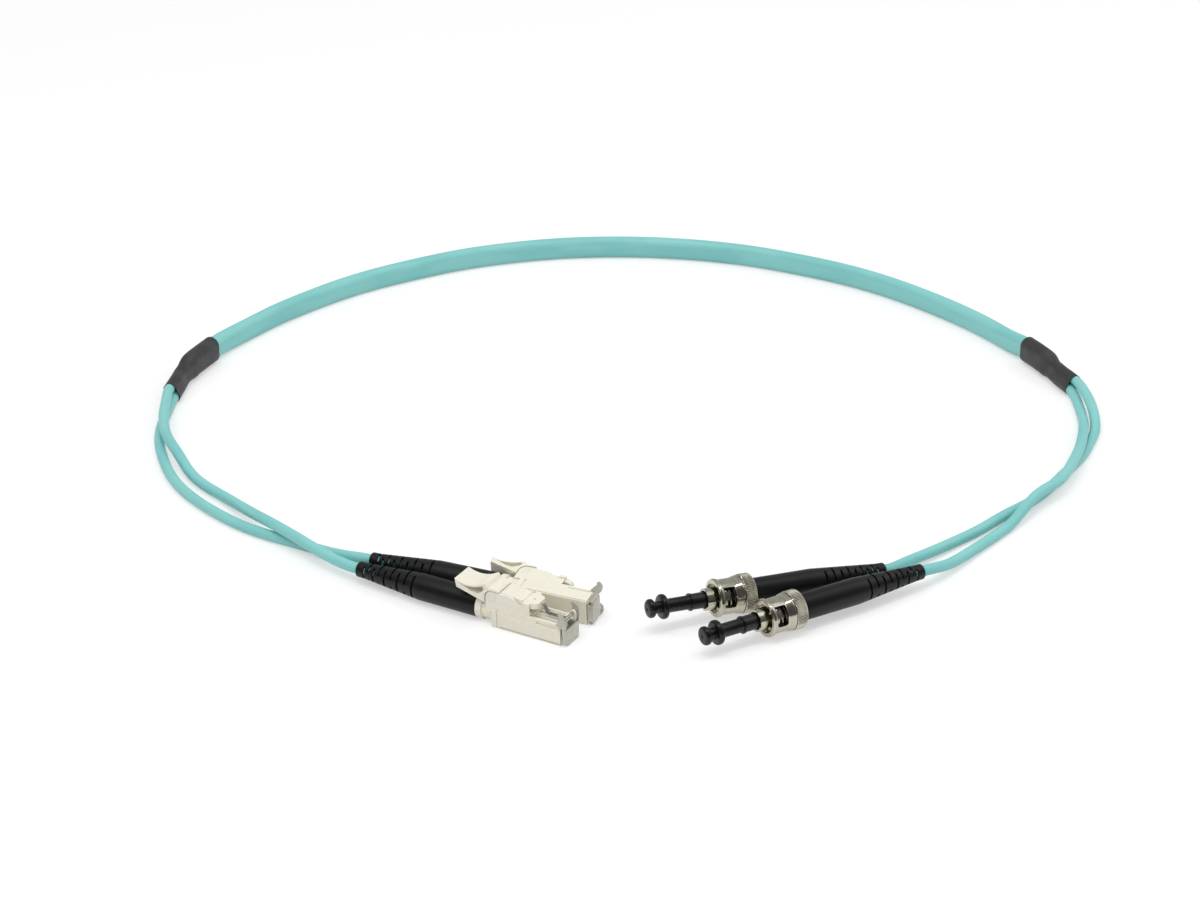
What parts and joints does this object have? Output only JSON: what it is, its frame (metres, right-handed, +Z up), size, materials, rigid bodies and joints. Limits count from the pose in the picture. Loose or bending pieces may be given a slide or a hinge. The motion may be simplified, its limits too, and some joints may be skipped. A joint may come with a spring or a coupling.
{
  "type": "fiber optic patch cord",
  "caption": "Duplex fiber patch cord with flat twin trunk, split sleeves, shuttered latch plugs at one end and capped bayonet plugs at the other.",
  "frame": {"origin": "centre of the box round the four plugs and the two sleeves, on the plane that the cord lies on", "axes": "+Z up; +X to the side of the bayonet plugs, -X to the side of the latch plugs; +Y from the plugs towards the middle of the trunk"},
  "size_m": [0.2561, 0.2415, 0.0114],
  "materials": {
    "ivory_plastic": "satin moulded ivory",
    "aqua_jacket": "satin turquoise cable jacket",
    "shrink_sleeve": "dull black shrink tube",
    "boot_elastomer": "satin black moulding",
    "nickel": "satin nickel plate",
    "spring_steel": "drawn wire and strip",
    "ceramic": "polished white ceramic",
    "fibre_buffer": "tight buffer",
    "cap_plastic": "black moulded cap"
  },
  "bodies": {
    "cord": {"trunk_sheath": "aqua_jacket", "left_split_sleeve": "shrink_sleeve", "right_split_sleeve": "shrink_sleeve", "leg_a": "aqua_jacket", "leg_b": "aqua_jacket", "leg_c": "aqua_jacket", "leg_d": "aqua_jacket", "near_latch_housing": "ivory_plastic", "near_latch_lever_pin": "ivory_plastic", "near_latch_shutter_pin": "nickel", "near_latch_shutter_leaf": "spring_steel", "near_latch_ferrule_spring": "spring_steel", "near_latch_rear_body": "nickel", "near_latch_crimp_sleeve": "nickel", "near_latch_fibre": "fibre_buffer", "near_latch_boot": "boot_elastomer", "far_latch_housing": "ivory_plastic", "far_latch_lever_pin": "ivory_plastic", "far_latch_shutter_pin": "nickel", "far_latch_shutter_leaf": "spring_steel", "far_latch_ferrule_spring": "spring_steel", "far_latch_rear_body": "nickel", "far_latch_crimp_sleeve": "nickel", "far_latch_fibre": "fibre_buffer", "far_latch_boot": "boot_elastomer", "near_bayonet_ferrule": "ceramic", "near_bayonet_guide_barrel": "nickel", "near_bayonet_nut_spring": "spring_steel", "near_bayonet_rear_post": "nickel", "near_bayonet_crimp_sleeve": "nickel", "near_bayonet_fibre": "fibre_buffer", "near_bayonet_boot": "boot_elastomer", "far_bayonet_ferrule": "ceramic", "far_bayonet_guide_barrel": "nickel", "far_bayonet_nut_spring": "spring_steel", "far_bayonet_rear_post": "nickel", "far_bayonet_crimp_sleeve": "nickel", "far_bayonet_fibre": "fibre_buffer", "far_bayonet_boot": "boot_elastomer"},
    "near_latch_lever_body": {"near_latch_lever": "ivory_plastic"},
    "near_latch_shutter_body": {"near_latch_shutter": "nickel"},
    "near_latch_ferrule_body": {"near_latch_ferrule": "ceramic", "near_latch_ferrule_holder": "nickel"},
    "far_latch_lever_body": {"far_latch_lever": "ivory_plastic"},
    "far_latch_shutter_body": {"far_latch_shutter": "nickel"},
    "far_latch_ferrule_body": {"far_latch_ferrule": "ceramic", "far_latch_ferrule_holder": "nickel"},
    "near_bayonet_washer_body": {"near_bayonet_thrust_washer": "spring_steel"},
    "near_bayonet_nut_body": {"near_bayonet_coupling_nut": "nickel"},
    "near_bayonet_cap_body": {"near_bayonet_dust_cap": "cap_plastic"},
    "far_bayonet_washer_body": {"far_bayonet_thrust_washer": "spring_steel"},
    "far_bayonet_nut_body": {"far_bayonet_coupling_nut": "nickel"},
    "far_bayonet_cap_body": {"far_bayonet_dust_cap": "cap_plastic"}
  },
  "joints": [
    {"name": "near_latch_lever_rock", "type": "hinge", "parent": "cord", "child": "near_latch_lever_body", "pos_m": [-0.03103, -0.06421, 0.0077], "axis": [-0.4909, -0.8712, 0], "range_deg": [0, 3], "stiffness_Nm_per_rad": 0.2},
    {"name": "near_latch_shutter_swing", "type": "hinge", "parent": "cord", "child": "near_latch_shutter_body", "pos_m": [-0.01413, -0.07373, 0.0064], "axis": [-0.4909, -0.8712, 0], "range_deg": [0, 65], "stiffness_Nm_per_rad": 0.002},
    {"name": "near_latch_ferrule_float", "type": "slide", "parent": "cord", "child": "near_latch_ferrule_body", "axis": [-0.8712, 0.4909, 0], "range_m": [0, 0.001], "stiffness_N_per_m": 800, "deforming": ["near_latch_ferrule_spring"]},
    {"name": "far_latch_lever_rock", "type": "hinge", "parent": "cord", "child": "far_latch_lever_body", "pos_m": [-0.02441, -0.05225, 0.00422], "axis": [-0.0407, -0.0963, 0.9945], "range_deg": [0, 3], "stiffness_Nm_per_rad": 0.2},
    {"name": "far_latch_shutter_swing", "type": "hinge", "parent": "cord", "child": "far_latch_shutter_body", "pos_m": [-0.00704, -0.06099, 0.00409], "axis": [-0.0407, -0.0963, 0.9945], "range_deg": [0, 65], "stiffness_Nm_per_rad": 0.002},
    {"name": "far_latch_ferrule_float", "type": "slide", "parent": "cord", "child": "far_latch_ferrule_body", "axis": [-0.9212, 0.3891, 0], "range_m": [0, 0.001], "stiffness_N_per_m": 800, "deforming": ["far_latch_ferrule_spring"]},
    {"name": "near_bayonet_nut_push", "type": "slide", "parent": "cord", "child": "near_bayonet_washer_body", "axis": [-0.8507, -0.5254, 0.0175], "range_m": [0, 0.002], "stiffness_N_per_m": 1500, "deforming": ["near_bayonet_nut_spring"]},
    {"name": "near_bayonet_nut_turn", "type": "hinge", "parent": "near_bayonet_washer_body", "child": "near_bayonet_nut_body", "pos_m": [0.04066, -0.06767, 0.00514], "axis": [-0.8507, -0.5254, 0.0175], "continuous": true},
    {"name": "near_bayonet_cap_pull", "type": "slide", "parent": "cord", "child": "near_bayonet_cap_body", "axis": [-0.8507, -0.5254, 0.0175], "range_m": [0, 0.008]},
    {"name": "far_bayonet_nut_push", "type": "slide", "parent": "cord", "child": "far_bayonet_washer_body", "axis": [-0.9118, -0.406, 0.061], "range_m": [0, 0.002], "stiffness_N_per_m": 1500, "deforming": ["far_bayonet_nut_spring"]},
    {"name": "far_bayonet_nut_turn", "type": "hinge", "parent": "far_bayonet_washer_body", "child": "far_bayonet_nut_body", "pos_m": [0.02931, -0.05935, 0.005], "axis": [-0.9118, -0.406, 0.061], "continuous": true},
    {"name": "far_bayonet_cap_pull", "type": "slide", "parent": "cord", "child": "far_bayonet_cap_body", "axis": [-0.9118, -0.406, 0.061], "range_m": [0, 0.008]}
  ]
}
